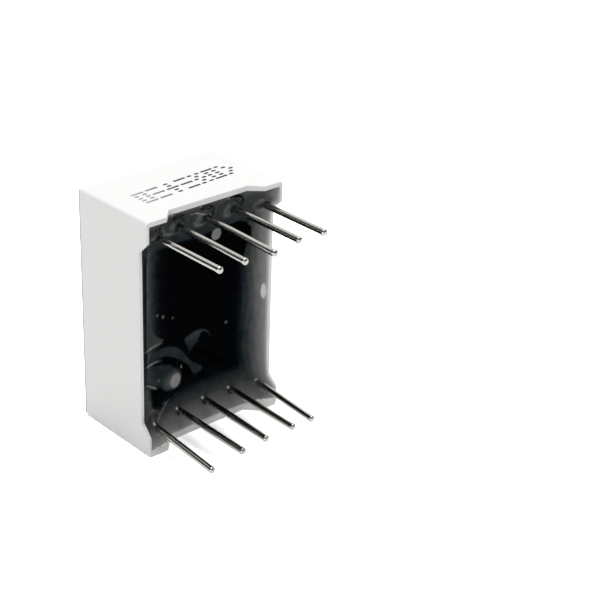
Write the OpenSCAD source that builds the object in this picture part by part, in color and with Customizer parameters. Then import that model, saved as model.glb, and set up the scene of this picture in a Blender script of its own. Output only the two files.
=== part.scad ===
// Single-digit seven segment display with two rows of pins, standing on its lower end.
// X runs to the right and Z up as the digit is read. Y runs from the face to the pins.
// The origin is the middle of the end face that it stands on.

/* [Case] */
// Width of the case
case_w = 12.6; // [12.4:0.1:14]
// Height of the case
case_h = 19; // [18.8:0.1:22]
// Depth from the face to the ends of the feet
case_d = 8; // [7.6:0.1:9]
// Thickness of the two long walls at the board
wall_t = 0.45; // [0.35:0.05:0.65]
// Thickness of the long walls at the ends of the feet, which gives all four walls their draft
rim_t = 0.2; // [0.15:0.05:0.5]
// Thickness of the two short walls at the board
end_t = 0.6; // [0.45:0.05:0.7]
// Radius of the four long corners
corner_r = 0.3; // [0.15:0.05:0.5]
// How far the corner feet stand beyond the middle of each wall
foot_rise = 0.95; // [0.6:0.05:1.1]
// Length of a foot along the short walls
foot_w = 1.75; // [1.3:0.05:2.2]
// Length of a foot along the long walls
foot_h = 1.6; // [1.3:0.05:2.2]
// Run of the slope that leads up to each foot
foot_slope = 0.9; // [0.6:0.05:1.2]
// Radius where a slope meets the rim
notch_r = 0.25; // [0.1:0.05:0.3]

/* [Reflector] */
// Depth of the light wells, from the face to the board
well_d = 4.5; // [4:0.1:4.8]
// Size of a well at the board, as a share of its size at the face
well_taper = 0.55; // [0.5:0.01:0.6]
// Size of the decimal point's well at the board, as a share of its size at the face
dp_taper = 0.8; // [0.75:0.01:0.9]
// Thickness of the face plate in front of the core-outs
plate_t = 1; // [0.8:0.1:1.5]
// Material kept between a well and a core-out
rib_t = 0.6; // [0.5:0.05:0.8]
// Depth of the reliefs for the soldered ends of the pins
relief_d = 0.8; // [0.6:0.05:1]
// Clearance between a soldered pin end and its relief
relief_gap = 0.1; // [0.05:0.01:0.15]

/* [Digit] */
// Height of the lit digit
digit_h = 14.2; // [13.6:0.1:14.4]
// Width of the lit digit, before it leans
digit_w = 8; // [7.4:0.1:8.2]
// Width of a segment
seg_t = 1.35; // [1.2:0.05:1.5]
// Gap between two segments
seg_gap = 0.35; // [0.2:0.05:0.5]
// Lean of the digit, in degrees
lean_deg = 8; // [5:0.5:10]
// Offset of the digit from the middle of the case, towards the left
digit_off = 0.35; // [0.2:0.05:0.5]
// Diameter of the decimal point
dp_d = 1.6; // [1.5:0.05:1.8]
// Gap from the digit to the decimal point
dp_gap = 0.6; // [0.4:0.05:0.8]
// Height of the decimal point's lowest edge above the digit's foot line
dp_rise = 0.1; // [0:0.05:0.3]

/* [Face] */
// Thickness of the black ink on the face
ink_t = 0.08; // [0.04:0.01:0.12]
// Bare margin between the ink and the two short ends of the face
ink_edge = 0.1; // [0.05:0.01:0.3]

/* [Board] */
// Thickness of the circuit board
board_t = 0.8; // [0.6:0.05:1]
// Clearance between the board and the walls
board_gap = 0.15; // [0.1:0.01:0.2]
// Thickness of the copper
copper_t = 0.05; // [0.04:0.01:0.07]
// Width of a copper track
track_w = 0.3; // [0.2:0.05:0.35]
// Diameter of the copper ring round a pin
ring_d = 0.9; // [0.85:0.01:0.92]
// Radial clearance of a pin in its hole in the board
hole_gap = 0.05; // [0.02:0.01:0.07]

/* [Dies and wires] */
// Side of a light-emitting die
die_w = 0.3; // [0.2:0.02:0.36]
// Thickness of a die
die_t = 0.2; // [0.15:0.01:0.25]
// Side of the copper pad under a die
die_pad = 0.5; // [0.44:0.02:0.56]
// Side of the copper pad that takes a bond wire
wire_pad = 0.4; // [0.3:0.02:0.44]
// Distance from a die to its wire pad
wire_span = 0.7; // [0.6:0.05:0.75]
// Diameter of a bond wire
wire_d = 0.05; // [0.04:0.01:0.07]

/* [Pins] */
// Diameter of a pin where it is tinned, beyond the feet
pin_d = 0.5; // [0.44:0.01:0.55]
// Thickness of the tin, which ends level with the feet
tin_t = 0.01; // [0.005:0.005:0.02]
// Distance between neighbouring pins
pin_pitch = 2.54; // [2.4:0.01:2.56]
// Distance between the two rows of pins
row_pitch = 15.24; // [15.16:0.01:15.4]
// Length of a pin beyond the feet
pin_out = 6; // [4:0.1:9]
// Length of the soldered end in front of the board
pin_stub = 0.45; // [0.35:0.01:0.5]
// Diameter of the tinned bead on the tip of a pin
bead_d = 0.58; // [0.56:0.01:0.65]
// Length of that bead
bead_l = 0.45; // [0.35:0.01:0.6]
// Diameter of a solder joint on its ring
solder_d = 0.84; // [0.7:0.01:0.84]
// Height of a solder joint
solder_h = 0.32; // [0.2:0.01:0.34]

/* [Potting] */
// Depth of epoxy over the middle of the board
cover_t = 0.55; // [0.4:0.05:0.8]
// Length over which the epoxy's climb up a wall dies away
climb_l = 1.15; // [0.8:0.05:1.4]
// Bare height left between the epoxy and the rim of a wall
rim_bare = 0.05; // [0.04:0.01:0.3]
// Rise of the epoxy round a pin
pin_climb = 0.45; // [0.2:0.05:0.6]
// Length over which that rise dies away
pin_climb_l = 0.3; // [0.2:0.05:0.5]
// Depth of the dished ring round each upper pin
dish_d = 0.22; // [0:0.02:0.3]
// Radius of that ring
dish_r = 0.85; // [0.7:0.05:1]
// Width of that ring
dish_w = 0.3; // [0.25:0.05:0.35]
// Radius of the blister in the lower corner
blister_r = 1.75; // [1:0.05:2]
// Height of that blister
blister_h = 0.75; // [0:0.05:1]
// Distance of its middle from the inner side of the long wall
blister_side = 2.25; // [1.5:0.05:3]
// Distance of its middle from the inner side of the lower wall
blister_end = 4.3; // [3:0.05:6]

/* [Hidden] */
SEGMENTS = ["a", "b", "c", "d", "e", "f", "g", "dp"];
PINS = [for (n = [1:10]) n];
$fn = 48;

// Planes across Y, from the face to the pins
face_y = -case_d / 2;
back_y = case_d / 2;
seat_y = face_y + well_d;
board_y = seat_y + copper_t;
cover_y = board_y + board_t;
level_y = cover_y + cover_t;

// Places across X and Z
mid_z = case_h / 2;
in_x = case_w / 2 - wall_t;
in_z = case_h / 2 - end_t;
core_r = pin_d / 2 - tin_t;
hole_r = core_r + hole_gap;
seg_mitre = seg_gap / sqrt(2);
dp_z = mid_z - digit_h / 2 + dp_rise + dp_d / 2;
dp_x = lean([digit_w / 2, dp_z - mid_z])[0] + dp_gap + dp_d / 2;

// Cuts run past the faces that they open
past = 0.2;

// Cells of the potting's grid: across it, up its middle, and up each band round a row of pins
cells_x = 52;
cells_mid = 22;
cells_band = 13;

// Leaning and outlines of the segments, in X and Z
function lean(p) = [p[0] + p[1] * tan(lean_deg) - digit_off, p[1] + mid_z];
function flip(points, x, z) = [for (p = points) [p[0] * x, p[1] * z]];

function top_bar() =
    let (w = digit_w / 2, h = digit_h / 2)
    [[-w + seg_mitre, h], [w - seg_mitre, h],
     [w - seg_t - seg_mitre, h - seg_t], [-w + seg_t + seg_mitre, h - seg_t]];

function middle_bar() =
    let (tip = digit_w / 2 - seg_t / 2 - seg_mitre, end = tip - seg_t / 2, half = seg_t / 2)
    [[-tip, 0], [-end, half], [end, half], [tip, 0], [end, -half], [-end, -half]];

function right_bar() =
    let (w = digit_w / 2, h = digit_h / 2, low = seg_gap / 2, bevel = seg_t / 2 + seg_mitre)
    [[w, low], [w, h - seg_mitre], [w - seg_t, h - seg_t - seg_mitre],
     [w - seg_t, bevel], [w - seg_t + bevel - low, low]];

function outline(s) =
    s == "a" ? top_bar() :
    s == "d" ? flip(top_bar(), 1, -1) :
    s == "g" ? middle_bar() :
    s == "b" ? right_bar() :
    s == "c" ? flip(right_bar(), 1, -1) :
    s == "e" ? flip(right_bar(), -1, -1) :
    flip(right_bar(), -1, 1);

function centre(s) =
    let (x = digit_w / 2 - seg_t / 2, z = digit_h / 4, end = digit_h / 2 - seg_t / 2)
    s == "dp" ? [dp_x, dp_z] :
    lean(s == "a" ? [0, end] :
         s == "d" ? [0, -end] :
         s == "g" ? [0, 0] :
         [s == "b" || s == "c" ? x : -x, s == "b" || s == "f" ? z : -z]);

// The way that a bond wire runs from its die, and where it starts and ends
function wire_way(s) =
    s == "a" || s == "dp" ? [1, 0] :
    s == "d" || s == "g" ? [-1, 0] :
    s == "b" || s == "f" ? [0, 1] : [0, -1];
function die_at(s) = centre(s) - (s == "dp" ? wire_span / 2 : 0) * wire_way(s);
function pad_at(s) = die_at(s) + wire_span * wire_way(s);

// Pins 1 to 5 run left to right along the lower row, and 6 to 10 right to left along the upper
function pin_at(n) =
    [pin_pitch * (n < 6 ? n - 3 : 8 - n), mid_z + (n < 6 ? -1 : 1) * row_pitch / 2];

// Extrudes a flat shape, drawn in X and Z, between two planes across Y
module slab(y0, y1) {
    translate([0, y1, 0]) rotate([90, 0, 0]) linear_extrude(y1 - y0) children();
}

// A rod or cone along Y, with its first radius at y0
module rod(at, y0, y1, r0, r1) {
    translate([at[0], y0, at[1]]) rotate([-90, 0, 0]) cylinder(h = y1 - y0, r1 = r0, r2 = r1);
}

module case_outline() {
    translate([-case_w / 2, corner_r]) square([case_w, case_h - 2 * corner_r]);
    translate([corner_r - case_w / 2, 0]) square([case_w - 2 * corner_r, case_h]);
    for (x = [-1, 1], z = [corner_r, case_h - corner_r])
        translate([x * (case_w / 2 - corner_r), z]) circle(corner_r);
}

module board_outline() {
    translate([0, mid_z]) square(2 * [in_x - board_gap, in_z - board_gap], center = true);
}

// The low middle of a wall, as a shape in length and Y, with sloped ends and rounded corners.
// It is drawn on past the feet, so that only the corners inside the wall are rounded.
module notch(length, foot) {
    half = length / 2 - foot;
    on = 4 * notch_r;
    offset(r = notch_r, $fn = 24) offset(delta = -notch_r)
        polygon([[-half, back_y], [foot_slope - half, back_y - foot_rise],
                 [half - foot_slope, back_y - foot_rise], [half, back_y],
                 [half + on, back_y + on], [-half - on, back_y + on]]);
}

// How far the inner sides have drawn back from their place at the board
function draft(y) = (wall_t - rim_t) * (y - seat_y) / (back_y - seat_y);

// The recess seen from an end or a side, with its half width at the board, flared to the rim
module flare(half) {
    top = back_y + past;
    wide = half + draft(top);
    polygon([[-half, seat_y], [half, seat_y], [wide, top], [-wide, top]]);
}

// The recess behind the board's seat
module recess() {
    intersection() {
        linear_extrude(case_h) flare(in_x);
        translate([-case_w / 2, 0, mid_z]) rotate([0, 90, 0]) linear_extrude(case_w) flare(in_z);
    }
}

// One light well, cut straight through or exactly as deep as it is
module well(s, extra = 0) {
    taper = s == "dp" ? dp_taper : well_taper;
    slope = (1 - taper) / well_d;
    at = centre(s);
    near = taper - slope * extra;
    far = 1 + slope * extra;
    if (s == "dp")
        rod(at, face_y - extra, seat_y + extra, far * dp_d / 2, near * dp_d / 2);
    else
        translate([at[0], seat_y + extra, at[1]]) rotate([90, 0, 0])
            linear_extrude(well_d + 2 * extra, scale = far / near)
                scale(near) translate(-at) polygon([for (p = outline(s)) lean(p)]);
}

// Core-outs behind the face plate: one in each loop of the digit, and one beside each long wall
module core_outs() {
    w = digit_w / 2 - seg_t - rib_t;
    low = seg_t / 2 + rib_t;
    high = digit_h / 2 - seg_t - rib_t;
    side = digit_w / 2 + rib_t;
    reach = digit_h / 2 - dp_d - dp_rise - rib_t;
    for (z = [-1, 1])
        polygon([for (p = [[-w, low], [w, low], [w, high], [-w, high]]) lean([p[0], z * p[1]])]);
    for (x = [-1, 1])
        polygon([lean([x * side, -reach]), [x * in_x, mid_z - reach],
                 [x * in_x, mid_z + reach], lean([x * side, reach])]);
}

// Reliefs in the reflector for the soldered ends of one row of pins
module relief(z) {
    half = solder_d / 2 + relief_gap;
    translate([-2 * pin_pitch - half, z - half]) square([4 * pin_pitch + 2 * half, 2 * half]);
}

module case() {
    color("whitesmoke") difference() {
        slab(face_y, back_y) case_outline();
        recess();
        translate([0, 0, -past]) linear_extrude(case_h + 2 * past) notch(case_w, foot_w);
        translate([-case_w / 2 - past, 0, mid_z]) rotate([0, 90, 0])
            linear_extrude(case_w + 2 * past) notch(case_h, foot_h);
        for (s = SEGMENTS) well(s, past);
        slab(face_y + plate_t, seat_y + past) core_outs();
        for (n = [1, 10]) slab(seat_y - relief_d, seat_y + past) relief(pin_at(n)[1]);
    }
}

module segment_outlines() {
    for (s = SEGMENTS)
        if (s == "dp") translate(centre(s)) circle(dp_d / 2);
        else polygon([for (p = outline(s)) lean(p)]);
}

module face_ink() {
    color("#141416") slab(face_y - ink_t, face_y) difference() {
        intersection() {
            case_outline();
            translate([0, mid_z]) square([case_w, case_h - 2 * ink_edge], center = true);
        }
        segment_outlines();
    }
}

module board() {
    color("darkolivegreen") difference() {
        slab(board_y, cover_y) board_outline();
        for (n = PINS) rod(pin_at(n), board_y - past, cover_y + past, hole_r, hole_r);
    }
}

// A straight run of copper from one point to the next
module track(a, b) {
    run = b - a;
    translate(a) rotate(atan2(run[1], run[0])) translate([-track_w / 2, -track_w / 2])
        square([norm(run) + track_w, track_w]);
}

module tracks(points) {
    for (i = [1:len(points) - 1]) track(points[i - 1], points[i]);
}

// The nets: pins 3 and 8 feed every die, and each other pin goes to one wire pad
module copper_tracks() {
    pins_of = [["a", 7], ["b", 6], ["c", 4], ["d", 2], ["e", 1], ["f", 9], ["dp", 5]];
    color("#b87333") slab(seat_y, board_y) difference() {
        union() {
            tracks([pin_at(8), die_at("a"), die_at("g"), die_at("d"), pin_at(3)]);
            tracks([die_at("f"), die_at("b")]);
            tracks([die_at("e"), die_at("c"), [die_at("dp")[0], die_at("c")[1]], die_at("dp")]);
            tracks([pin_at(10), [pin_at(10)[0], pad_at("g")[1]], pad_at("g")]);
            for (net = pins_of) tracks([pin_at(net[1]), pad_at(net[0])]);
            for (s = SEGMENTS) {
                translate(die_at(s)) square(die_pad, center = true);
                translate(pad_at(s)) square(wire_pad, center = true);
            }
            for (n = PINS) translate(pin_at(n)) circle(ring_d / 2);
        }
        for (n = PINS) translate(pin_at(n)) circle(hole_r);
    }
}

module solder_joints() {
    color("silver") for (n = PINS) difference() {
        rod(pin_at(n), seat_y - solder_h, seat_y, core_r + hole_gap, solder_d / 2);
        rod(pin_at(n), seat_y - solder_h - past, seat_y + past, core_r, core_r);
    }
}

// A round wire pin, turned about its axis: the tinned length, then the rounded bead of tin
// on its tip, then back down the axis to the bare wire that the board and epoxy hold
module pin(n) {
    end = back_y + pin_out;
    bead = [for (a = [-60:20:80]) [bead_d / 2 * cos(a), end - bead_l / 2 * (1 - sin(a))]];
    profile = concat(
        [[pin_d / 2, back_y], [pin_d / 2, end - bead_l]], bead,
        [[0, end], [0, board_y - pin_stub], [core_r, board_y - pin_stub], [core_r, back_y]]);
    color("#c9c7bd") translate([pin_at(n)[0], 0, pin_at(n)[1]]) rotate([-90, 0, 0])
        rotate_extrude() polygon(profile);
}

module die(s, extra = 0) {
    at = die_at(s);
    color("#d8c878") translate([at[0] - die_w / 2, seat_y - die_t, at[1] - die_w / 2])
        cube([die_w, die_t + extra, die_w]);
}

// A bond wire as one swept tube: off the die, over in a half circle and down onto its pad.
// Its own frame has X along the way that it runs and Y as in the display.
function wire_line(extra) = concat(
    [for (a = [180:-22.5:0]) [wire_span / 2 * (1 + cos(a)), -die_t - wire_span / 2 * sin(a)]],
    [[wire_span, extra]]
);

module wire(s, extra = 0) {
    sides = 6;
    line = wire_line(extra);
    last = len(line) - 1;
    angles = [for (i = [0:last]) i == last ? 0 : 180 - 22.5 * i];
    way = wire_way(s);
    at = die_at(s);
    points = [for (i = [0:last], k = [0:sides - 1])
        let (out = wire_d / 2 * cos(360 * k / sides), across = wire_d / 2 * sin(360 * k / sides),
             run = line[i][0] + out * cos(angles[i]))
        [at[0] + run * way[0] + across * way[1],
         seat_y + line[i][1] - out * sin(angles[i]),
         at[1] + run * way[1] - across * way[0]]];
    skin = [for (i = [0:last - 1], k = [0:sides - 1])
        let (a = i * sides + k, b = i * sides + (k + 1) % sides)
        each [[a, b, b + sides], [a, b + sides, a + sides]]];
    ends = [[for (k = [sides - 1:-1:0]) k], [for (k = [0:sides - 1]) last * sides + k]];
    color("gold") polyhedron(points, concat(skin, ends));
}

// The cast epoxy of one segment, with its die and wire set into it
module window(s) {
    color("ivory") difference() {
        well(s);
        die(s, past);
        wire(s, past);
    }
}

// Height of the epoxy: level in the middle, climbing each wall to just under its rim,
// and rising round each pin. The upper pins stand in shallow dished rings, and trapped air
// has raised a blister in a lower corner.
wide_x = in_x + draft(level_y);
wide_z = in_z + draft(level_y);
function fade(d, l) = exp(-d / l);
function ease(t) = t <= 0 ? 0 : t >= 1 ? 1 : t * t * (3 - 2 * t);
function rim_drop(d, foot) = foot_rise * ease((d - foot) / foot_slope);
function near_pin(x, z, n) =
    let (r = max(norm([x, z] - pin_at(n)) - core_r, 0), ring = (r + core_r - dish_r) / dish_w)
    pin_climb * fade(r, pin_climb_l) - (n > 5 ? dish_d * exp(-ring * ring) : 0);
function blister(x, z) =
    let (r = norm([x - in_x + blister_side, z - mid_z + in_z - blister_end]) / blister_r)
    r < 1 ? blister_h * sqrt(1 - r * r) * (1 - r * r * r * r) : 0;

function epoxy_y(x, z) =
    let (to_side = wide_x - abs(x), to_end = wide_z - abs(z - mid_z),
         side = fade(to_side, climb_l), end = fade(to_end, climb_l),
         top = back_y - rim_bare - level_y,
         side_top = top - rim_drop(to_end + end_t, foot_h),
         end_top = top - rim_drop(to_side + wall_t, foot_w),
         walls = side_top * side * (1 - end) + end_top * end * (1 - side) + top * side * end,
         free = (1 - fade(to_side, pin_climb_l)) * (1 - fade(to_end, pin_climb_l)))
    level_y + walls + free * (blister(x, z) + sum([for (n = PINS) near_pin(x, z, n)]));

function sum(v) = v * [for (i = v) 1];

// Grid lines from -1 to 1: evenly spaced, or closer in a band at each end
function lines(cells) = [for (i = [0:cells]) 2 * i / cells - 1];
function banded(share) = concat(
    [for (i = [0:cells_band - 1]) share * i / cells_band - 1],
    (1 - share) * lines(cells_mid),
    [for (i = [1:cells_band]) 1 - share + share * i / cells_band]
);

// A point of the surface, spread with the draft so that the outermost ones touch the walls
function epoxy_point(u, v) =
    let (y = epoxy_y(wide_x * u, mid_z + wide_z * v))
    [(in_x + draft(y)) * u, y, mid_z + (in_z + draft(y)) * v];

module epoxy_block() {
    us = lines(cells_x);
    vs = banded(1 - (row_pitch / 2 - dish_r - dish_w) / wide_z);
    row = len(us);
    last_x = len(us) - 1;
    last_z = len(vs) - 1;
    ring = concat(
        [for (i = [0:last_x]) [i, 0]], [for (k = [1:last_z]) [last_x, k]],
        [for (i = [last_x - 1:-1:0]) [i, last_z]], [for (k = [last_z - 1:-1:1]) [0, k]]);
    count = len(ring);
    top = [for (v = vs, u = us) epoxy_point(u, v)];
    foot = [for (p = ring) [in_x * us[p[0]], seat_y, mid_z + in_z * vs[p[1]]]];
    base = len(top);
    hub = base + count;
    surface = [for (k = [0:last_z - 1], i = [0:last_x - 1])
        let (a = k * row + i)
        each [[a, a + 1, a + row + 1], [a, a + row + 1, a + row]]];
    sides = [for (j = [0:count - 1])
        let (m = (j + 1) % count, a = ring[j][1] * row + ring[j][0], b = ring[m][1] * row + ring[m][0])
        each [[a, base + j, base + m], [a, base + m, b]]];
    floor = [for (j = [0:count - 1]) [base + (j + 1) % count, base + j, hub]];
    polyhedron(concat(top, foot, [[0, seat_y, mid_z]]), concat(surface, sides, floor));
}

module potting() {
    color("#1b1c20") difference() {
        epoxy_block();
        slab(seat_y - past, cover_y) board_outline();
        for (n = PINS) rod(pin_at(n), seat_y, back_y, core_r, core_r);
    }
}

case();
face_ink();
potting();
board();
copper_tracks();
solder_joints();
for (n = PINS) pin(n);
for (s = SEGMENTS) {
    window(s);
    die(s);
    wire(s);
}
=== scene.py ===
"""The looks of a single-digit seven segment display that stands on its lower end, seen from behind.

Metres, X to the right and Z up as the digit is read, Y from the face to the pins.
"""

from math import cos, exp, pi, radians, sin

import bmesh
import bpy
import numpy as np
from mathutils import Matrix, Vector


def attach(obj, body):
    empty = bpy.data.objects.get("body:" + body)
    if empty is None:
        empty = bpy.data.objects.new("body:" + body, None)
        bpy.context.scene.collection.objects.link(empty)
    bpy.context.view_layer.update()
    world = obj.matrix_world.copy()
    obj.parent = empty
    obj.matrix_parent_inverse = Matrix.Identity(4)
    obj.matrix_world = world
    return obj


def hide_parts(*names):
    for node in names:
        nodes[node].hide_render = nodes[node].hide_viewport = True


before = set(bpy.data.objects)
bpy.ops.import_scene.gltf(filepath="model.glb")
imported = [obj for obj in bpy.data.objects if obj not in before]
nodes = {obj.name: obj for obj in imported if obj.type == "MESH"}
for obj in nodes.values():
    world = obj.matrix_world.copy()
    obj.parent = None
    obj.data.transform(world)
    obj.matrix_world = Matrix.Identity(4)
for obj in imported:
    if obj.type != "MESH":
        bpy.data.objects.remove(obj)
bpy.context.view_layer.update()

# The case is one moulding of white plastic: face plate, reflector, walls and corner feet.
# Its mould leaves it satin, with a fine grain and faint flow marks that run up the walls.
mm = 0.001


class Wire:
    """One output in a material. Arithmetic on it adds Math nodes."""

    def __init__(self, tree, socket=None):
        self.tree, self.socket = tree, socket

    def node(self, kind, settings=None, values=None, output=0):
        made = self.tree.nodes.new("ShaderNode" + kind)
        for name, value in (settings or {}).items():
            if name == "stops":
                for stop, (place, colour) in zip(range(len(value)), value):
                    ramp = made.color_ramp.elements
                    point = ramp[stop] if stop < 2 else ramp.new(place)
                    point.position, point.color = place, colour
            else:
                setattr(made, name, value)
        for name, value in (values or {}).items():
            if isinstance(value, Wire):
                self.tree.links.new(value.socket, made.inputs[name])
            else:
                made.inputs[name].default_value = value
        return Wire(self.tree, made.outputs[output])

    def maths(self, operation, *values):
        return self.node("Math", {"operation": operation}, dict(enumerate(values)))

    def __add__(self, other):
        return self.maths("ADD", self, other)

    def __sub__(self, other):
        return self.maths("SUBTRACT", self, other)

    def __rsub__(self, other):
        return self.maths("SUBTRACT", other, self)

    def __mul__(self, other):
        return self.maths("MULTIPLY", self, other)

    def __truediv__(self, other):
        return self.maths("DIVIDE", self, other)

    __radd__, __rmul__ = __add__, __mul__

    def noise(self, scale, stretch=(1, 1, 1), detail=3.0):
        place = self.node("TexCoord", output=3)
        place = self.node("Mapping", {"vector_type": "POINT"}, {"Vector": place, "Scale": stretch})
        return self.node("TexNoise", {"noise_dimensions": "3D"},
                         {"Vector": place, "Scale": scale, "Detail": detail})

    def blend(self, low, high):
        """A colour between two, by this value"""
        return self.node("Mix", {"data_type": "RGBA"}, {0: self, 6: low, 7: high}, output=2)

    def between(self, low, high):
        """This value, from 0 to 1, spread between two others"""
        return self.node("MapRange", {"clamp": True},
                         {"Value": self, "To Min": low, "To Max": high})


def new_material(name, **constants):
    """A material with one shader, its constants set, and a wire to start its nodes from"""
    made = bpy.data.materials.new(name)
    made.use_nodes = True
    tree = made.node_tree
    tree.nodes.clear()
    shader = tree.nodes.new("ShaderNodeBsdfPrincipled")
    out = tree.nodes.new("ShaderNodeOutputMaterial")
    tree.links.new(shader.outputs[0], out.inputs[0])
    for key, value in constants.items():
        shader.inputs[key.replace("_", " ")].default_value = value
    return made, Wire(tree), shader


def feed(shader, **wires):
    """Links varying values to a shader's sockets"""
    for key, wire in wires.items():
        wire.tree.links.new(wire.socket, shader.inputs[key.replace("_", " ")])


def dress(names, made):
    """Gives CAD nodes a material in place of the one that they came with"""
    for name in names:
        nodes[name].data.materials.clear()
        nodes[name].data.materials.append(made)


case_plastic, start, shader = new_material("case_plastic", IOR=1.47)
flow = start.noise(260, (1, 1, 0.25))
grain = start.noise(9000, detail=2.0)
case_colour = flow.between(0.25, 0.75).blend((0.825, 0.826, 0.812, 1), (0.850, 0.851, 0.842, 1))
feed(shader, Base_Color=case_colour, Roughness=flow.between(0.42, 0.52) + grain * 0.04,
     Normal=start.node("Bump", {}, {"Strength": 0.12, "Distance": 0.00002, "Height": grain}))
dress(["case"], case_plastic)

# Milky epoxy fills the eight light wells. It is poured in liquid from the back, so it follows
# each tapered well, and it shows on the face as a smooth, faintly cloudy surface.
milky_epoxy, start, shader = new_material("milky_epoxy", IOR=1.5, Coat_Weight=0.3,
                                          Coat_Roughness=0.08)
cloud = start.noise(700)
milk = cloud.between(0.2, 0.8).blend((0.80, 0.79, 0.75, 1), (0.88, 0.87, 0.84, 1))
feed(shader, Base_Color=milk,
     Roughness=cloud.between(0.24, 0.34),
     Normal=start.node("Bump", {}, {"Strength": 0.1, "Distance": 0.00003, "Height": cloud}))
segments = ["a", "b", "c", "d", "e", "f", "g", "dp"]
dress(["window_" + s for s in segments], milky_epoxy)

# The face is printed with black ink up to the edges of the segments. The ink is screened on
# in one pass, so it has a fine matte tooth and slight changes in gloss.
face_ink, start, shader = new_material("face_ink", IOR=1.45)
tooth = start.noise(14000, detail=2.0)
pass_marks = start.noise(400, (1, 1, 0.3))
ink = pass_marks.between(0.2, 0.8).blend((0.011, 0.011, 0.012, 1), (0.020, 0.020, 0.022, 1))
feed(shader, Base_Color=ink, Roughness=pass_marks.between(0.46, 0.58) + tooth * 0.08,
     Normal=start.node("Bump", {}, {"Strength": 0.2, "Distance": 0.00001, "Height": tooth}))
dress(["face_ink"], face_ink)

# Each segment is lit by one small sawn die, cut from a crystal wafer and glued to its pad.
# Its sides keep the marks of the saw.
die_crystal, start, shader = new_material("die_crystal", IOR=1.9)
saw = start.noise(9000, (1, 12, 1), detail=1.0)
feed(shader, Base_Color=saw.between(0.3, 0.7).blend((0.52, 0.40, 0.13, 1), (0.72, 0.60, 0.28, 1)),
     Roughness=saw.between(0.2, 0.4),
     Normal=start.node("Bump", {}, {"Strength": 0.25, "Distance": 0.000005, "Height": saw}))
dress(["die_" + s for s in segments], die_crystal)

# A thin drawn gold wire joins the top of each die to the pad beside it. It is bent into one
# loop and welded at both ends.
gold_wire, start, shader = new_material("gold_wire", Metallic=1.0)
draw = start.noise(30000, detail=1.0)
feed(shader, Base_Color=draw.between(0.3, 0.7).blend((0.86, 0.57, 0.20, 1), (0.96, 0.70, 0.32, 1)),
     Roughness=draw.between(0.15, 0.3))
dress(["wire_" + s for s in segments], gold_wire)

# Copper tracks join the pins to the dies. They are etched from rolled foil on the front of the
# board, a little dull and tarnished.
copper, start, shader = new_material("copper", Metallic=1.0)
tarnish = start.noise(1500)
aged = tarnish.between(0.2, 0.8).blend((0.60, 0.27, 0.14, 1), (0.80, 0.42, 0.25, 1))
feed(shader, Base_Color=aged, Roughness=tarnish.between(0.25, 0.42),
     Normal=start.node("Bump", {}, {"Strength": 0.15, "Distance": 0.00001, "Height": tarnish}))
dress(["copper_tracks"], copper)

# The board is a punched sheet of glass cloth in epoxy, under a green lacquer. The cloth's
# weave shows through as two crossed sets of fine ridges.
board_laminate, start, shader = new_material("board_laminate", IOR=1.5)
place = start.node("TexCoord", output=3)
across = start.node("TexWave", {"bands_direction": "X"}, {"Vector": place, "Scale": 300.0})
along = start.node("TexWave", {"bands_direction": "Z"}, {"Vector": place, "Scale": 300.0})
weave = across.maths("MAXIMUM", across, along)
feed(shader, Base_Color=weave.blend((0.035, 0.085, 0.030, 1), (0.055, 0.125, 0.045, 1)),
     Roughness=weave.between(0.32, 0.42),
     Normal=start.node("Bump", {}, {"Strength": 0.2, "Distance": 0.00001, "Height": weave}))
dress(["board"], board_laminate)

# Each pin is soldered to the ring of copper round it on the front of the board. The tin freezes
# in dull, crazed patches.
solder, start, shader = new_material("solder", Metallic=1.0)
craze = start.node("TexVoronoi", {}, {"Vector": start.node("TexCoord", output=3), "Scale": 9000.0})
feed(shader, Base_Color=craze.between(0.3, 0.7).blend((0.66, 0.66, 0.65, 1), (0.80, 0.80, 0.79, 1)),
     Roughness=craze.between(0.22, 0.4),
     Normal=start.node("Bump", {}, {"Strength": 0.2, "Distance": 0.00001, "Height": craze}))
dress(["solder_joints"], solder)

# Ten wires of hot-tinned steel are the pins. Each is pushed through the board, then the back
# is cast. They are a little bent from handling, and the tin is uneven and beads at the tips.
pitch, rows, half_height = 2.54, 7.62, 9.5
wire_r, bead_r = 0.25, 0.27
pin_start, pin_end = 0.1, 10.0
# Sideways bends in X and Z where a pin leaves the epoxy and at its tip, from the lowest X up
lower_bends = [((-0.12, 0.08), (0.48, 0.06)), ((-0.20, 0.14), (-0.16, 0.09)),
               ((-0.20, 0.13), (-0.03, 0.11)), ((-0.18, 0.13), (-0.32, -0.09)),
               ((-0.04, 0.02), (0.04, -0.52))]
upper_bends = [((-0.04, 0.08), (-0.02, 0.12)), ((-0.23, 0.16), (-0.13, 0.21)),
               ((-0.20, 0.14), (-0.40, -0.18)), ((-0.16, 0.13), (-0.19, 0.01)),
               ((-0.16, 0.22), (-0.49, 0.03))]


def smooth(t):
    """An eased step, 0 up to 0 and 1 from 1 on"""
    t = np.clip(t, 0.0, 1.0)
    return t * t * (3 - 2 * t)


def pin_places():
    """Number, place and bends of each pin: 1 to 5 along the lower row, 6 to 10 back above"""
    for n in range(1, 11):
        lower = n < 6
        x = pitch * (n - 3 if lower else 8 - n)
        bends = (lower_bends if lower else upper_bends)[int(round(x / pitch)) + 2]
        yield n, x, half_height + (-rows if lower else rows), bends


tinned_wire, start, shader = new_material("tinned_wire", Metallic=1.0)
streak = start.noise(2200, (1, 0.03, 1), detail=1.0)
patch = start.noise(700, (1, 0.4, 1))
tone = (streak * 0.6 + patch * 0.4).between(0.0, 1.0)
ribs = streak * 0.5 + start.noise(5200, (1, 0.5, 1)) * 0.8
feed(shader, Base_Color=tone.blend((0.50, 0.49, 0.45, 1), (0.74, 0.73, 0.69, 1)),
     Roughness=patch.between(0.11, 0.20),
     Normal=start.node("Bump", {}, {"Strength": 0.30, "Distance": 0.00001, "Height": ribs}))


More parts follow.
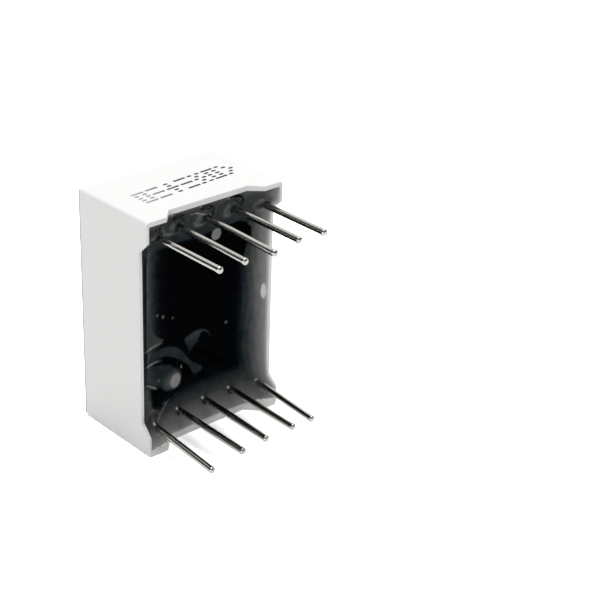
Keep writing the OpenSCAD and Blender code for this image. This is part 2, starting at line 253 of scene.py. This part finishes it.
def turned_wire(name, x, z, bends, seed):
    """A round wire along a bent line, with uneven tin on it and a rounded bead at its tip"""
    rng = np.random.default_rng(seed)
    waves = [(rng.uniform(0.6, 3.5), rng.uniform(0, 2 * pi), rng.uniform(0.4, 1)) for _ in range(5)]
    bead_side = rng.uniform(0, 2 * pi)
    cap = 0.65 * bead_r
    middle = pin_end - cap
    cap_ys = middle + cap * np.sin(np.linspace(0, pi / 2, 13)[1:])
    ys = np.concatenate([np.linspace(pin_start, middle, 130), cap_ys])
    sides = 32
    # The pin bends from here on, and the tin is lumpiest here
    freed_y, lump_y = 2.4, 3.1
    lump = 0.06 if z < half_height else 0.03
    (root_x, root_z), (tip_x, tip_z) = bends
    bm = bmesh.new()
    rings = []
    for y in ys:
        free = max(y - freed_y, 0) / (pin_end - freed_y)
        held = float(smooth((y - 1.3) / 1.1))
        cx = x + root_x * held + (tip_x - root_x) * free
        cz = z + root_z * held + (tip_z - root_z) * free
        tin = 0.004 * sum(w * sin(f * y + p) for f, p, w in waves) / 3
        r = wire_r + tin * float(smooth((y - 1.9) / 0.5))
        bead = float(smooth((y - (middle - 0.35)) / 0.3))
        r += (bead_r - wire_r) * bead
        r *= max(1e-3, 1 - (max(0.0, y - middle) / cap) ** 2) ** 0.5
        lumps = lump * exp(-((y - lump_y) / 0.5) ** 2)
        ring = []
        for k in range(sides):
            a = 2 * pi * k / sides
            lobe = 1 + 0.03 * bead * cos(a - bead_side) + 0.004 * cos(2 * a + y)
            lobe += lumps * sin(13 * y + 2 * a + waves[0][1])
            out_x, out_z = r * lobe * cos(a), r * lobe * sin(a)
            ring.append(bm.verts.new(((cx + out_x) * mm, y * mm, (cz + out_z) * mm)))
        rings.append(ring)
    for low, high in zip(rings, rings[1:]):
        for k in range(sides):
            after = (k + 1) % sides
            bm.faces.new((low[k], high[k], high[after], low[after]))
    bm.faces.new(list(reversed(rings[0])))
    bm.faces.new(rings[-1])
    bmesh.ops.recalc_face_normals(bm, faces=bm.faces)
    mesh = bpy.data.meshes.new(name)
    bm.to_mesh(mesh)
    bm.free()
    mesh.shade_smooth()
    piece = bpy.data.objects.new(name, mesh)
    bpy.context.scene.collection.objects.link(piece)
    piece.data.materials.append(tinned_wire)
    return piece


for n, x, z, bends in pin_places():
    pin = turned_wire("bent_pin_%d" % n, x, z, bends, n)
    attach(pin, "root")
    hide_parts("pin_%d" % n)

# Black epoxy is cast over the board while the display lies on its face. It creeps up the walls
# and the pins, sinks into craters round the upper row, and sets with blisters in one corner.

# The case's inside at its front, and its walls' thickness there and at the rims
in_x, in_z, wall_t, rim_t, end_t = 5.85, 8.9, 0.45, 0.2, 0.6
seat_y, cover_y, level_y, back_y, board_gap = 0.5, 1.35, 1.9, 4.0, 0.15
# The rims stand lower between the feet, by this rise and over this slope
foot_rise, foot_w, foot_h, foot_slope = 0.95, 1.75, 1.6, 0.9
# How far the epoxy climbs the walls and the pins, and the craters round the upper pins
climb_l, rim_bare, pin_climb, pin_climb_l, core_r = 1.15, 0.05, 0.45, 0.3, 0.24
dish_d, dish_r, dish_w = 0.22, 0.85, 0.3
lip_h, lip_r, lip_w = 0.05, 0.46, 0.08
# The share of its bend that a pin has where it leaves the epoxy
rooted = 0.6


def draft(y):
    """How much wider the case's inside is at Y than at its front, on each side"""
    return (wall_t - rim_t) * (y - seat_y) / (back_y - seat_y)


wide_x, wide_z = in_x + draft(level_y), in_z + draft(level_y)


def hump(x, z, at, r):
    """A rounded mound of height 1 that ends at a radius"""
    d = np.minimum(np.hypot(x - at[0], z - at[1]) / r, 1)
    return np.sqrt(1 - d * d) * (1 - d ** 4)


def ridge(x, z, points, width):
    """A fine ridge of height 1 along a bent line, fading out at both ends"""
    spans = [np.hypot(bx - ax, bz - az) for (ax, az), (bx, bz) in zip(points, points[1:])]
    best, done = np.zeros_like(x), 0.0
    for (ax, az), (bx, bz), span in zip(points, points[1:], spans):
        t = np.clip(((x - ax) * (bx - ax) + (z - az) * (bz - az)) / span ** 2, 0, 1)
        off = np.hypot(x - ax - t * (bx - ax), z - az - t * (bz - az))
        along = (done + t * span) / sum(spans)
        fade = np.sqrt(np.clip(5 * along * (1 - along), 0, 1))
        best = np.maximum(best, np.exp(-(off / width) ** 2) * fade)
        done += span
    return best


def inside(x, z, outline, soft):
    """1 inside an outline, 0 outside it, with a soft edge"""
    crossings, near = np.zeros_like(x), np.full_like(x, 9.0)
    for (ax, az), (bx, bz) in zip(outline, outline[1:] + outline[:1]):
        run_x, run_z = bx - ax, bz - az
        t = np.clip(((x - ax) * run_x + (z - az) * run_z) / (run_x ** 2 + run_z ** 2), 0, 1)
        near = np.minimum(near, np.hypot(x - ax - t * run_x, z - az - t * run_z))
        if az != bz:
            crossings += ((az > z) != (bz > z)) & (x < ax + (z - az) * run_x / run_z)
    return smooth(0.5 + 0.5 * np.where(crossings % 2 == 1, near, -near) / soft)


def rounded(outline):
    """An outline with its corners cut off twice"""
    for _ in range(2):
        pairs = list(zip(outline, outline[1:] + outline[:1]))
        outline = [(p * ax + (1 - p) * bx, p * az + (1 - p) * bz)
                   for (ax, az), (bx, bz) in pairs for p in (0.75, 0.25)]
    return outline


def disc(x, z, at, rx, rz, soft):
    """1 inside an oval, 0 outside it, with a soft edge"""
    return smooth(0.5 + (1 - np.hypot((x - at[0]) / rx, (z - at[1]) / rz)) / soft)


blister, blister_r, blister_h = (3.35, 4.8), 1.95, 0.80
# A raised ring round the root of one pin: its middle, radius, height and width
ring_at, ring_r, ring_h, ring_w = (5.05, 2.0), 0.9, 0.03, 0.07
# Points along each seam, its width and rise, and the film over it, which paints a pale highlight
# line or a dark reflection along it
seams_and_painted_lines = [([(5.6, 8.0), (3.5, 7.96)], 0.05, 0.05, 0.45),
         ([(5.6, 6.74), (3.6, 6.56)], 0.05, 0.05, 0.4),
         ([(5.0, 1.94), (4.3, 2.12), (3.66, 2.43), (3.0, 3.15)], 0.05, 0.04, 0.5),
         ([(5.5, 5.25), (4.6, 4.78)], 0.06, 0.07, 0.1),
         ([(1.3, 17.82), (-0.25, 17.52)], 0.06, 0.04, 0.2),
         ([(2.85, 17.85), (2.49, 18.11), (1.98, 17.9), (1.56, 17.44), (1.56, 17.0)],
          0.10, -0.05, 2.9),
         ([(2.68, 17.03), (2.22, 17.01), (2.05, 17.17)], 0.12, -0.03, 3.0),
         ([(0.3, 17.95), (-0.13, 18.11), (-0.7, 17.9), (-1.09, 17.52), (-1.18, 16.95)],
          0.11, -0.05, 2.9),
         ([(-0.18, 16.74), (-0.51, 16.8), (-0.68, 17.02)], 0.12, -0.03, 3.0),
         ([(-2.1, 18.15), (-2.53, 18.43), (-3.19, 18.19), (-3.69, 17.7), (-3.61, 17.15)],
          0.12, -0.05, 2.9),
         ([(-2.86, 16.96), (-2.95, 17.22), (-3.08, 17.35)], 0.12, -0.03, 3.0),
         ([(4.2, 18.8), (4.7, 18.5), (4.2, 17.6), (3.75, 16.9), (4.0, 16.5)], 0.09, 0.03, 2.2),
         ([(5.19, 18.05), (4.71, 17.46)], 0.14, 0.03, 2.0),
         ([(3.78, 17.66), (3.35, 16.71), (2.72, 16.5), (2.1, 16.75)], 0.12, 0.03, 0.85),
         ([(0.6, 17.0), (0.32, 16.57), (-0.22, 16.42), (-0.6, 16.65)], 0.12, 0.03, 0.85),
         ([(-2.15, 17.1), (-2.35, 16.65), (-2.72, 16.5), (-3.0, 16.8)], 0.12, 0.03, 0.85)]
# Small beads in the surface, each painted pale as a glint: the place and radius of each, and the
# film over it
specks_and_painted_glints = [((4.02, 10.4), 0.10, 0.6), ((3.43, 10.08), 0.12, 0.5), ((2.48, 9.64), 0.08, 1.2),
          ((-2.66, 7.65), 0.12, 0.8), ((1.87, 5.46), 0.15, 0.1), ((4.42, 5.4), 0.09, 0.7),
          ((-5.48, 0.77), 0.14, 0.25), ((3.38, 18.5), 0.17, 0.1), ((0.5, 18.28), 0.15, 0.1),
          ((-2.09, 18.28), 0.17, 0.1), ((2.09, 17.39), 0.15, 0.15), ((-0.54, 17.4), 0.15, 0.15),
          ((-3.11, 17.23), 0.15, 0.15), ((-3.66, 16.64), 0.13, 0.3), ((4.9, 18.3), 0.15, 0.3)]
# Outlines of painted reflections and shade on the epoxy, pale and dark swirls and pools; band and
# cup also raise it a little
band = [(5.3, 6.9), (4.9, 7.22), (4.3, 7.4), (3.5, 7.55), (2.75, 7.45), (2.0, 7.05),
        (1.45, 6.55), (1.1, 5.9), (0.55, 5.3), (-0.05, 4.9), (-0.5, 4.5), (-0.15, 4.2),
        (0.45, 4.15), (0.7, 4.4), (0.87, 4.9), (1.25, 5.35), (1.65, 5.75), (2.25, 6.2),
        (3.0, 6.57), (3.6, 6.78), (4.2, 6.85), (5.3, 6.75)]
cup = [(0.92, 6.14), (1.16, 6.7), (1.46, 7.5), (1.15, 7.7), (0.55, 7.9), (-0.06, 7.94),
       (-0.66, 7.75), (-1.03, 7.36), (-1.2, 6.8), (-1.03, 6.87), (-0.9, 7.3), (-0.42, 7.6),
       (-0.18, 7.42), (0.07, 7.03), (-0.06, 6.88), (0.43, 6.67), (0.8, 6.36)]
wedge = [(5.25, 10.8), (4.9, 10.1), (4.55, 9.3), (4.05, 8.6), (3.23, 8.08), (3.6, 8.0),
         (5.3, 7.93), (5.4, 9.4)]
swell = [(5.5, 6.61), (4.25, 6.45), (3.61, 6.36), (2.94, 6.12), (2.62, 5.75), (2.06, 5.2),
         (1.7, 4.2), (1.73, 3.61), (2.73, 4.0), (3.34, 4.25), (3.83, 4.23), (4.3, 4.75),
         (4.69, 4.93), (5.5, 5.21)]
hollow = [(4.85, 4.95), (4.21, 4.8), (4.01, 4.21), (3.86, 3.4), (3.73, 2.69), (4.1, 2.67),
          (4.57, 2.86), (4.81, 3.22), (4.74, 3.73), (4.78, 4.43)]
bay = [(5.95, 5.4), (5.04, 4.87), (4.96, 4.37), (4.9, 3.79), (4.85, 3.09), (4.49, 2.7),
       (5.74, 2.61), (5.95, 2.77)]
pool = [(-1.5, 12.9), (-1.75, 14.6), (-2.37, 15.47), (-2.9, 15.76), (-3.58, 15.85),
        (-4.22, 15.65), (-4.67, 15.19), (-4.72, 14.43), (-4.35, 13.74), (-4.25, 13.13),
        (-3.6, 12.4)]
band_h, cup_h = 0.06, 0.07
# Painted highlights, soft pale patches where a lamp's reflection lies: place, half width and
# height, softness, strength, and the film over it
painted_highlights = [((3.05, 4.9), 1.0, 0.75, 0.9, 0.55, 0.6), ((2.82, 4.8), 0.60, 0.58, 0.45, 1, 0.28),
           ((-1.62, 15.3), 0.48, 0.5, 0.4, 1, 0.45), ((-5.73, 9.66), 0.2, 0.68, 0.5, 1, 0.06)]
# Distances from the inside of a wall, and the film of epoxy over it there. The pale climbs are
# partly thin epoxy over the white walls and partly painted reflection; on the left wall, the
# thinner film near 0.86 paints a highlight line along the top of the climb.
left_film = ([0, 0.3, 0.48, 0.62, 0.74, 0.86, 1.0, 1.25, 1.6, 2.0, 2.6, 3.2],
             [1.5, 1.5, 1.95, 1.95, 1.35, 1.05, 1.15, 1.4, 1.75, 2.1, 2.5, 3])
right_film = ([0, 0.15, 3], [0, 0.25, 3])
upper_film = ([0, 0.5, 1.2, 2.2, 2.8, 3.2], [0.90, 1.2, 1.35, 1.4, 1.75, 3])
lower_film = ([0, 0.07, 0.16, 0.5, 1, 1.6, 2.1, 2.6, 3.2, 4],
              [0, 0.04, 0.28, 0.48, 0.71, 1.12, 1.44, 1.8, 2.3, 3])
# Places in X along the lower feet, and how much of their inside is left bare there
bare_feet = ([-6.1, -5.7, -5.2, -4.7, -4.4, -4.2, 4.4, 4.65, 5.1, 5.5, 6.1],
             [0.25, 0.32, 0.38, 0.45, 0.36, 0, 0, 0.25, 0.17, 0.19, 0.12])


def epoxy_height(x, z):
    """Height of the cast epoxy over X and Z, and that of its fine details alone"""
    to_side, to_end = wide_x - np.abs(x), wide_z - np.abs(z - half_height)
    side, end = np.exp(-to_side / climb_l), np.exp(-to_end / climb_l)
    top = back_y - rim_bare - level_y
    side_top = top - foot_rise * smooth((to_end + end_t - foot_h) / foot_slope)
    end_top = top - foot_rise * smooth((to_side + wall_t - foot_w) / foot_slope)
    walls = side_top * side * (1 - end) + end_top * end * (1 - side) + top * side * end
    free = (1 - np.exp(-to_side / pin_climb_l)) * (1 - np.exp(-to_end / pin_climb_l))
    more, fine = np.zeros_like(x), np.zeros_like(x)
    for n, px, pz, ((rx, rz), _) in pin_places():
        off = np.hypot(x - px - rx * rooted, z - pz - rz * rooted)
        r = np.maximum(off - core_r, 0)
        more += pin_climb * np.exp(-r / pin_climb_l)
        if n > 5:
            more -= dish_d * np.exp(-((r + core_r - dish_r) / dish_w) ** 2)
            fine += lip_h * np.exp(-((r + core_r - lip_r) / lip_w) ** 2)
    more += blister_h * hump(x, z, blister, blister_r)
    more += band_h * inside(x, z, band, 0.35) + cup_h * inside(x, z, cup, 0.2)
    to_ring = np.hypot(x - ring_at[0], z - ring_at[1]) - ring_r
    fine += ring_h * np.exp(-(to_ring / ring_w) ** 2)
    for points, width, rise, _ in seams_and_painted_lines:
        fine += rise * ridge(x, z, points, width + 0.02)
    for at, r, _ in specks_and_painted_glints:
        fine += 0.6 * r * hump(x, z, at, r)
    return level_y + walls + free * (more + fine), free * fine


def epoxy_film_and_painted_light(x, z, to_side, to_end):
    """How thick a film of epoxy lies over the pale walls and pins, with painted highlights,
    reflections and shade laid over it as film values
    """
    side = np.where(x > 0, np.interp(to_side, *left_film), np.interp(to_side, *right_film))
    lower = z < half_height
    end = np.where(lower, np.interp(to_end, *lower_film), np.interp(to_end, *upper_film))
    # Thinner inside the lower left foot, and blended where two walls meet
    end = end * (1 - 0.45 * smooth((x - 4.0) / 0.8) * smooth((1.9 - z) / 0.9))
    meet = 0.12
    film = -meet * np.log(np.exp(-side / meet) + np.exp(-end / meet))
    # Where each feature is, from 0 to 1, and the film there; a later one lies over the others. Most
    # are painted light: the dark ones paint shade and dark reflections, the pale ones paint
    # highlights and reflections.
    dome = np.hypot(x - blister[0], z - blister[1])
    # A painted dark ring round the blister, painted light and shade over its left side (swell), and
    # painted reflections in the other outlines
    features_and_painted_light = [(smooth((2.05 - dome) / 0.12) * smooth((z - 3.3) / 0.8), 2.9),
             (inside(x, z, bay, 0.3), 1.05), (inside(x, z, hollow, 0.25), 2.4),
             (inside(x, z, rounded(swell), 0.2), 1.25 + 0.42 * smooth((5.2 - x) / 0.9)),
             (inside(x, z, pool, 0.08), 3.0), (inside(x, z, rounded(band), 0.14), 1.6),
             (inside(x, z, rounded(cup), 0.14), 1.72 - 0.32 * smooth((z - 6.7) / 1.0)),
             (inside(x, z, rounded(wedge), 0.1), 1.25)]
    # Painted highlights: soft pale discs over the blister and on the walls
    for at, rx, rz, soft, strength, thick in painted_highlights:
        features_and_painted_light.append((disc(x, z, at, rx, rz, soft) * strength, thick))
    # A painted highlight along the raised ring round one pin
    to_ring = np.hypot(x - ring_at[0], z - ring_at[1]) - ring_r
    features_and_painted_light.append((0.4 * np.exp(-(to_ring / 0.05) ** 2), 0.6))
    # The ragged edge of the epoxy at the lower feet
    bare = np.interp(x, *bare_feet) + 0.025 * np.sin(13 * x) + 0.015 * np.sin(29 * x)
    at_feet = smooth((np.abs(x) - 4.2) / 0.2) * lower
    features_and_painted_light.append((smooth((bare - to_end) / 0.07) * at_feet, 0.0))
    for n, px, pz, ((rx, rz), _) in pin_places():
        root_x, root_z = px + rx * rooted, pz + rz * rooted
        r = np.hypot(x - root_x, z - root_z)
        # A painted highlight ring in each crater, painted shade in a collar round each pin's root,
        # and a painted glint above each lower pin's root
        if n > 5:
            features_and_painted_light.append((0.7 * np.exp(-((r - 0.55) / 0.1) ** 2), 0.9))
        root_shade_r = 0.42 if n > 5 else 0.32
        features_and_painted_light.append((smooth((root_shade_r - r) / 0.1), 1.8))
        if n < 6:
            features_and_painted_light.append((disc(x, z, (root_x + 0.12, root_z + 0.22), 0.13, 0.11, 0.7), 0.08))
    # Painted lines along the seams: pale highlight lines and dark reflections
    for points, width, _, thick in seams_and_painted_lines:
        features_and_painted_light.append((ridge(x, z, points, width), thick))
    # Painted glints on the beads
    for at, r, thick in specks_and_painted_glints:
        features_and_painted_light.append((disc(x, z, at, 0.7 * r, 0.7 * r, 0.8), thick))
    for mask, thick in features_and_painted_light:
        film = film * (1 - mask) + thick * mask
    # Faint upright runs on the right wall
    runs = np.sin(5.1 * x + 1.3 * np.sin(0.9 * z)) * np.sin(7.3 * x + 2.1 * np.sin(0.7 * z + 1))
    right = smooth((-3.2 - x) / 1.2) * smooth((to_end - 1.5) / 2)
    return film * (1 + 0.09 * runs * smooth(film / 0.3) * right)


def cast_block():
    """The epoxy as one closed mesh: its surface, its sides and the place that the board takes"""
    nx, nz = 231, 353
    us, vs = np.linspace(-1, 1, nx), np.linspace(-1, 1, nz)
    u, v = np.meshgrid(us, vs)
    y, fine = epoxy_height(wide_x * u, half_height + wide_z * v)
    x, z = (in_x + draft(y)) * u, half_height + (in_z + draft(y)) * v
    points = np.stack([x, y, z], axis=-1).reshape(-1, 3)
    k = np.arange(nx * nz).reshape(nz, nx)
    faces = np.stack([k[:-1, :-1], k[:-1, 1:], k[1:, 1:], k[1:, :-1]], axis=-1)
    faces = faces.reshape(-1, 4).tolist()
    edge = np.concatenate([k[0, :], k[1:, -1], k[-1, -2::-1], k[-2:0:-1, 0]])
    count, steps = len(edge), []
    for gap, low in [(0, seat_y), (board_gap, seat_y), (board_gap, cover_y)]:
        lead = points[edge].copy()
        lead[:, 0] = (in_x - gap) * u.reshape(-1)[edge]
        lead[:, 1] = low
        lead[:, 2] = half_height + (in_z - gap) * v.reshape(-1)[edge]
        steps.append(lead)
    base = len(points)
    points = np.concatenate([points] + steps)
    loops = [edge] + [base + count * s + np.arange(count) for s in range(3)]
    for a, b in zip(loops, loops[1:]):
        faces += np.stack([a, b, np.roll(b, -1), np.roll(a, -1)], axis=-1).tolist()
    faces.append(loops[-1][::-1].tolist())
    mesh = bpy.data.meshes.new("cast_epoxy")
    mesh.from_pydata((points * mm).tolist(), [], faces)
    film = np.full(len(points), 9.0)
    to_side, to_end = in_x + draft(y) - np.abs(x), in_z + draft(y) - np.abs(z - half_height)
    film[:base] = epoxy_film_and_painted_light(x, z, to_side, to_end).reshape(-1)
    step = 2 * in_x / (nx - 1)
    slope = np.hypot(np.gradient(fine, axis=0), np.gradient(fine, axis=1)) / step
    wet = np.concatenate([smooth(slope / 0.5).reshape(-1), np.zeros(len(points) - base)])
    for name, values in (("film", film), ("wet", wet)):
        kept = mesh.attributes.new(name, "FLOAT", "POINT")
        kept.data.foreach_set("value", values.astype(np.float32))
    bm = bmesh.new()
    bm.from_mesh(mesh)
    bmesh.ops.recalc_face_normals(bm, faces=bm.faces)
    bm.to_mesh(mesh)
    bm.free()
    mesh.shade_smooth()
    piece = bpy.data.objects.new("cast_epoxy", mesh)
    bpy.context.scene.collection.objects.link(piece)
    return piece


# Where the epoxy thins out over white plastic, the pale shows through it. Its own reflection is
# kept faint, and the same film value also paints its highlights, reflections and shade: pale
# swirls, rings, lines and glints, and dark rings and collars. Its creases and beads stayed wet
# longest, so they are the glossiest.
black_epoxy, start, shader = new_material("black_epoxy", IOR=1.045, Coat_IOR=1.5,
                                          Coat_Roughness=0.03)
film = start.node("Attribute", {"attribute_name": "film"}, output=2)
wet = start.node("Attribute", {"attribute_name": "wet"}, output=2)
# The film as a share of the deepest one, and the colour that it has there
deepest = 3.0
depths = [(0.0, 0.86, 0.86, 0.84), (0.033, 0.47, 0.47, 0.46), (0.10, 0.25, 0.255, 0.25),
          (0.167, 0.19, 0.195, 0.19), (0.233, 0.144, 0.149, 0.144), (0.30, 0.104, 0.109, 0.106),
          (0.40, 0.052, 0.057, 0.056), (0.533, 0.021, 0.028, 0.031),
          (0.667, 0.004, 0.008, 0.010), (0.767, 0.0006, 0.0015, 0.003),
          (1.0, 0.0002, 0.0003, 0.0006)]
haze, mottle = start.noise(420), start.noise(1500)
thin = film / deepest * (1 + (mottle - 0.5) * 0.35)
stops = [(depth, (r, g, b, 1)) for depth, r, g, b in depths]
tint = start.node("ValToRGB", {"stops": stops}, {0: thin})
feed(shader, Base_Color=tint, Roughness=haze.between(0.04, 0.09), Coat_Weight=wet,
     Normal=start.node("Bump", {}, {"Strength": 0.10, "Distance": 0.00004, "Height": haze}))
potting = cast_block()
potting.data.materials.append(black_epoxy)
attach(potting, "root")
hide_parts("potting")

# A generic mark is printed on the upper end in short strokes of dark ink: boxes, bars, crosses
# and an arrowhead. The strokes have rounded ends, as a fine ink jet leaves them.
mark_ink, start, shader = new_material("mark_ink", IOR=1.45)
dry = start.noise(9000)
side_x = start.node("SeparateXYZ", {}, {0: start.node("TexCoord", output=3)})
worn = start.node("MapRange", {"clamp": True},
                  {"Value": side_x, "From Min": 0.0005, "From Max": 0.0045})
feed(shader, Base_Color=(worn * (0.5 + dry)).blend((0.020, 0.020, 0.022, 1), (0.42, 0.42, 0.43, 1)),
     Roughness=dry.between(0.45, 0.65))
# Five rows of three strokes make a sign
box, bars, plus = "111 101 101 101 111", "111 000 111 000 111", "010 010 111 010 010"
cross, tip = "101 010 101 010 101", "100 010 001 010 100"
sign_step, column_step, row_step, stroke = 1.36, 0.37, 0.42, 0.28
mark_x, mark_y, top_z, lift = 4.1, 0.25, 19, 0.012
half, slant = 0.105, radians(4)
bm = bmesh.new()
for sign, shape in enumerate([box, bars, plus, bars, cross, box, tip]):
    for row, line in enumerate(shape.split()):
        for column, printed in enumerate(line):
            if printed == "0":
                continue
            u, v = sign_step * sign + column_step * column, row_step * (row - 2)
            outline = [(u + half * cos(a) * 0.6, v + half * sin(a))
                       for a in np.linspace(pi / 2, 3 * pi / 2, 9)]
            outline += [(u + stroke + half * cos(a) * 0.6, v + half * sin(a))
                        for a in np.linspace(-pi / 2, pi / 2, 9)]
            turned = [(mark_x - p * cos(slant) + q * sin(slant),
                       mark_y - p * sin(slant) - q * cos(slant)) for p, q in outline]
            under, over = ([bm.verts.new((x * mm, y * mm, (top_z + h) * mm)) for x, y in turned]
                           for h in (0.0, lift))
            bm.faces.new(over)
            bm.faces.new(under[::-1])
            for k in range(len(over)):
                after = (k + 1) % len(over)
                bm.faces.new((under[k], under[after], over[after], over[k]))
bmesh.ops.recalc_face_normals(bm, faces=bm.faces)
mesh = bpy.data.meshes.new("printed_mark")
bm.to_mesh(mesh)
bm.free()
mark = bpy.data.objects.new("printed_mark", mesh)
bpy.context.scene.collection.objects.link(mark)
mark.data.materials.append(mark_ink)
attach(mark, "root")

# The display stands on a plain white sheet of paper, which keeps its shadow and lights it from
# below. To the camera it is brighter than paper, so that it is white up to the shadow.
bm = bmesh.new()
bmesh.ops.create_grid(bm, x_segments=24, y_segments=24, size=1.5)
mesh = bpy.data.meshes.new("white_sheet")
bm.to_mesh(mesh)
bm.free()
sheet = bpy.data.objects.new("white_sheet", mesh)
sheet.location.z = -0.00002
bpy.context.scene.collection.objects.link(sheet)
sheet_white = bpy.data.materials.new("sheet_white")
sheet_white.use_nodes = True
tree = sheet_white.node_tree
tree.nodes.clear()
start = Wire(tree)
# The white that plain light, mirrors and the camera meet
lit, mirrored, seen = (start.node("BsdfDiffuse", {}, {"Color": (level, level, level, 1)})
                       for level in (0.98, 0.95, 2.1))
glossy_ray = start.node("LightPath", output="Is Glossy Ray")
paper = start.node("MixShader", {}, {0: glossy_ray, 1: lit, 2: mirrored})
camera_ray = start.node("LightPath", output="Is Camera Ray")
paper = start.node("MixShader", {}, {0: camera_ray, 1: paper, 2: seen})
tree.links.new(paper.socket, tree.nodes.new("ShaderNodeOutputMaterial").inputs[0])
sheet.data.materials.append(sheet_white)

# Soft studio light: a pale sky that is dimmer on the left and behind the pins, a round soft box
# overhead, and a wide, dim one low on the left that fills the shade.
world = bpy.data.worlds.new("studio")
bpy.context.scene.world = world
world.use_nodes = True
tree = world.node_tree
tree.nodes.clear()
start = Wire(tree)
way = start.node("SeparateXYZ", {}, {0: start.node("TexCoord", output=0)})
aside, depth, height = (Wire(tree, output) for output in way.socket.node.outputs)
behind = start.node("MapRange", {"interpolation_type": "SMOOTHSTEP"},
                    {"Value": depth, "From Min": -0.5, "From Max": 0.3})
rise = start.node("MapRange", {"interpolation_type": "SMOOTHSTEP"},
                  {"Value": height - aside * 0.6, "From Min": 0.3, "From Max": 0.8})
shade = (rise * (1 - behind * 0.67)).blend((0.05, 0.05, 0.05, 1), (0.95, 0.95, 0.95, 1))
sky = start.node("Background", {}, {"Color": shade, "Strength": 1.0})
white = start.node("Background", {}, {"Color": (1, 1, 1, 1), "Strength": 1.0})
camera_ray = start.node("LightPath", output="Is Camera Ray")
sky = start.node("MixShader", {}, {0: camera_ray, 1: sky, 2: white})
tree.links.new(sky.socket, tree.nodes.new("ShaderNodeOutputWorld").inputs[0])
part_middle = Vector((0, 0, 0.0095))


def soft_box(name, way, far, radius, radiance):
    """A round lamp that faces the display"""
    lamp = bpy.data.lights.new(name, "AREA")
    lamp.shape, lamp.size = "DISK", 2 * radius
    lamp.energy = radiance * pi * pi * radius ** 2
    holder = bpy.data.objects.new(name, lamp)
    way = Vector(way).normalized()
    holder.location = part_middle + way * far
    holder.rotation_euler = way.to_track_quat("Z", "Y").to_euler()
    bpy.context.scene.collection.objects.link(holder)


soft_box("overhead", (-0.08, -0.04, 0.97), 0.7, 0.22, 7.8)
soft_box("fill", (1, 0.45, 0.12), 0.7, 0.3, 2.4)

# The camera stands where the fitted pose of the display puts it. It looks past the display's
# middle, because the display is left of the middle of the picture.
azimuth, elevation, roll, distance = radians(136.56), radians(26.62), radians(2.13), 0.1155
back = Vector((sin(azimuth) * cos(elevation), -cos(azimuth) * cos(elevation), sin(elevation)))
right = Vector((cos(azimuth), sin(azimuth), 0))
up = back.cross(right)
turned_right = right * cos(roll) + up * sin(roll)
turned_up = up * cos(roll) - right * sin(roll)
eye = part_middle + turned_right * 0.00891 + turned_up * 0.00008 + back * distance
camera = bpy.data.objects.new("camera", bpy.data.cameras.new("camera"))
camera.data.lens, camera.data.sensor_width = 91.5, 36.0
camera.data.clip_start, camera.data.clip_end = 0.005, 10.0
camera.matrix_world = Matrix(((turned_right.x, turned_up.x, back.x, eye.x),
                              (turned_right.y, turned_up.y, back.y, eye.y),
                              (turned_right.z, turned_up.z, back.z, eye.z), (0, 0, 0, 1)))
bpy.context.scene.collection.objects.link(camera)
bpy.context.scene.camera = camera
bpy.context.scene.view_settings.view_transform = "Standard"
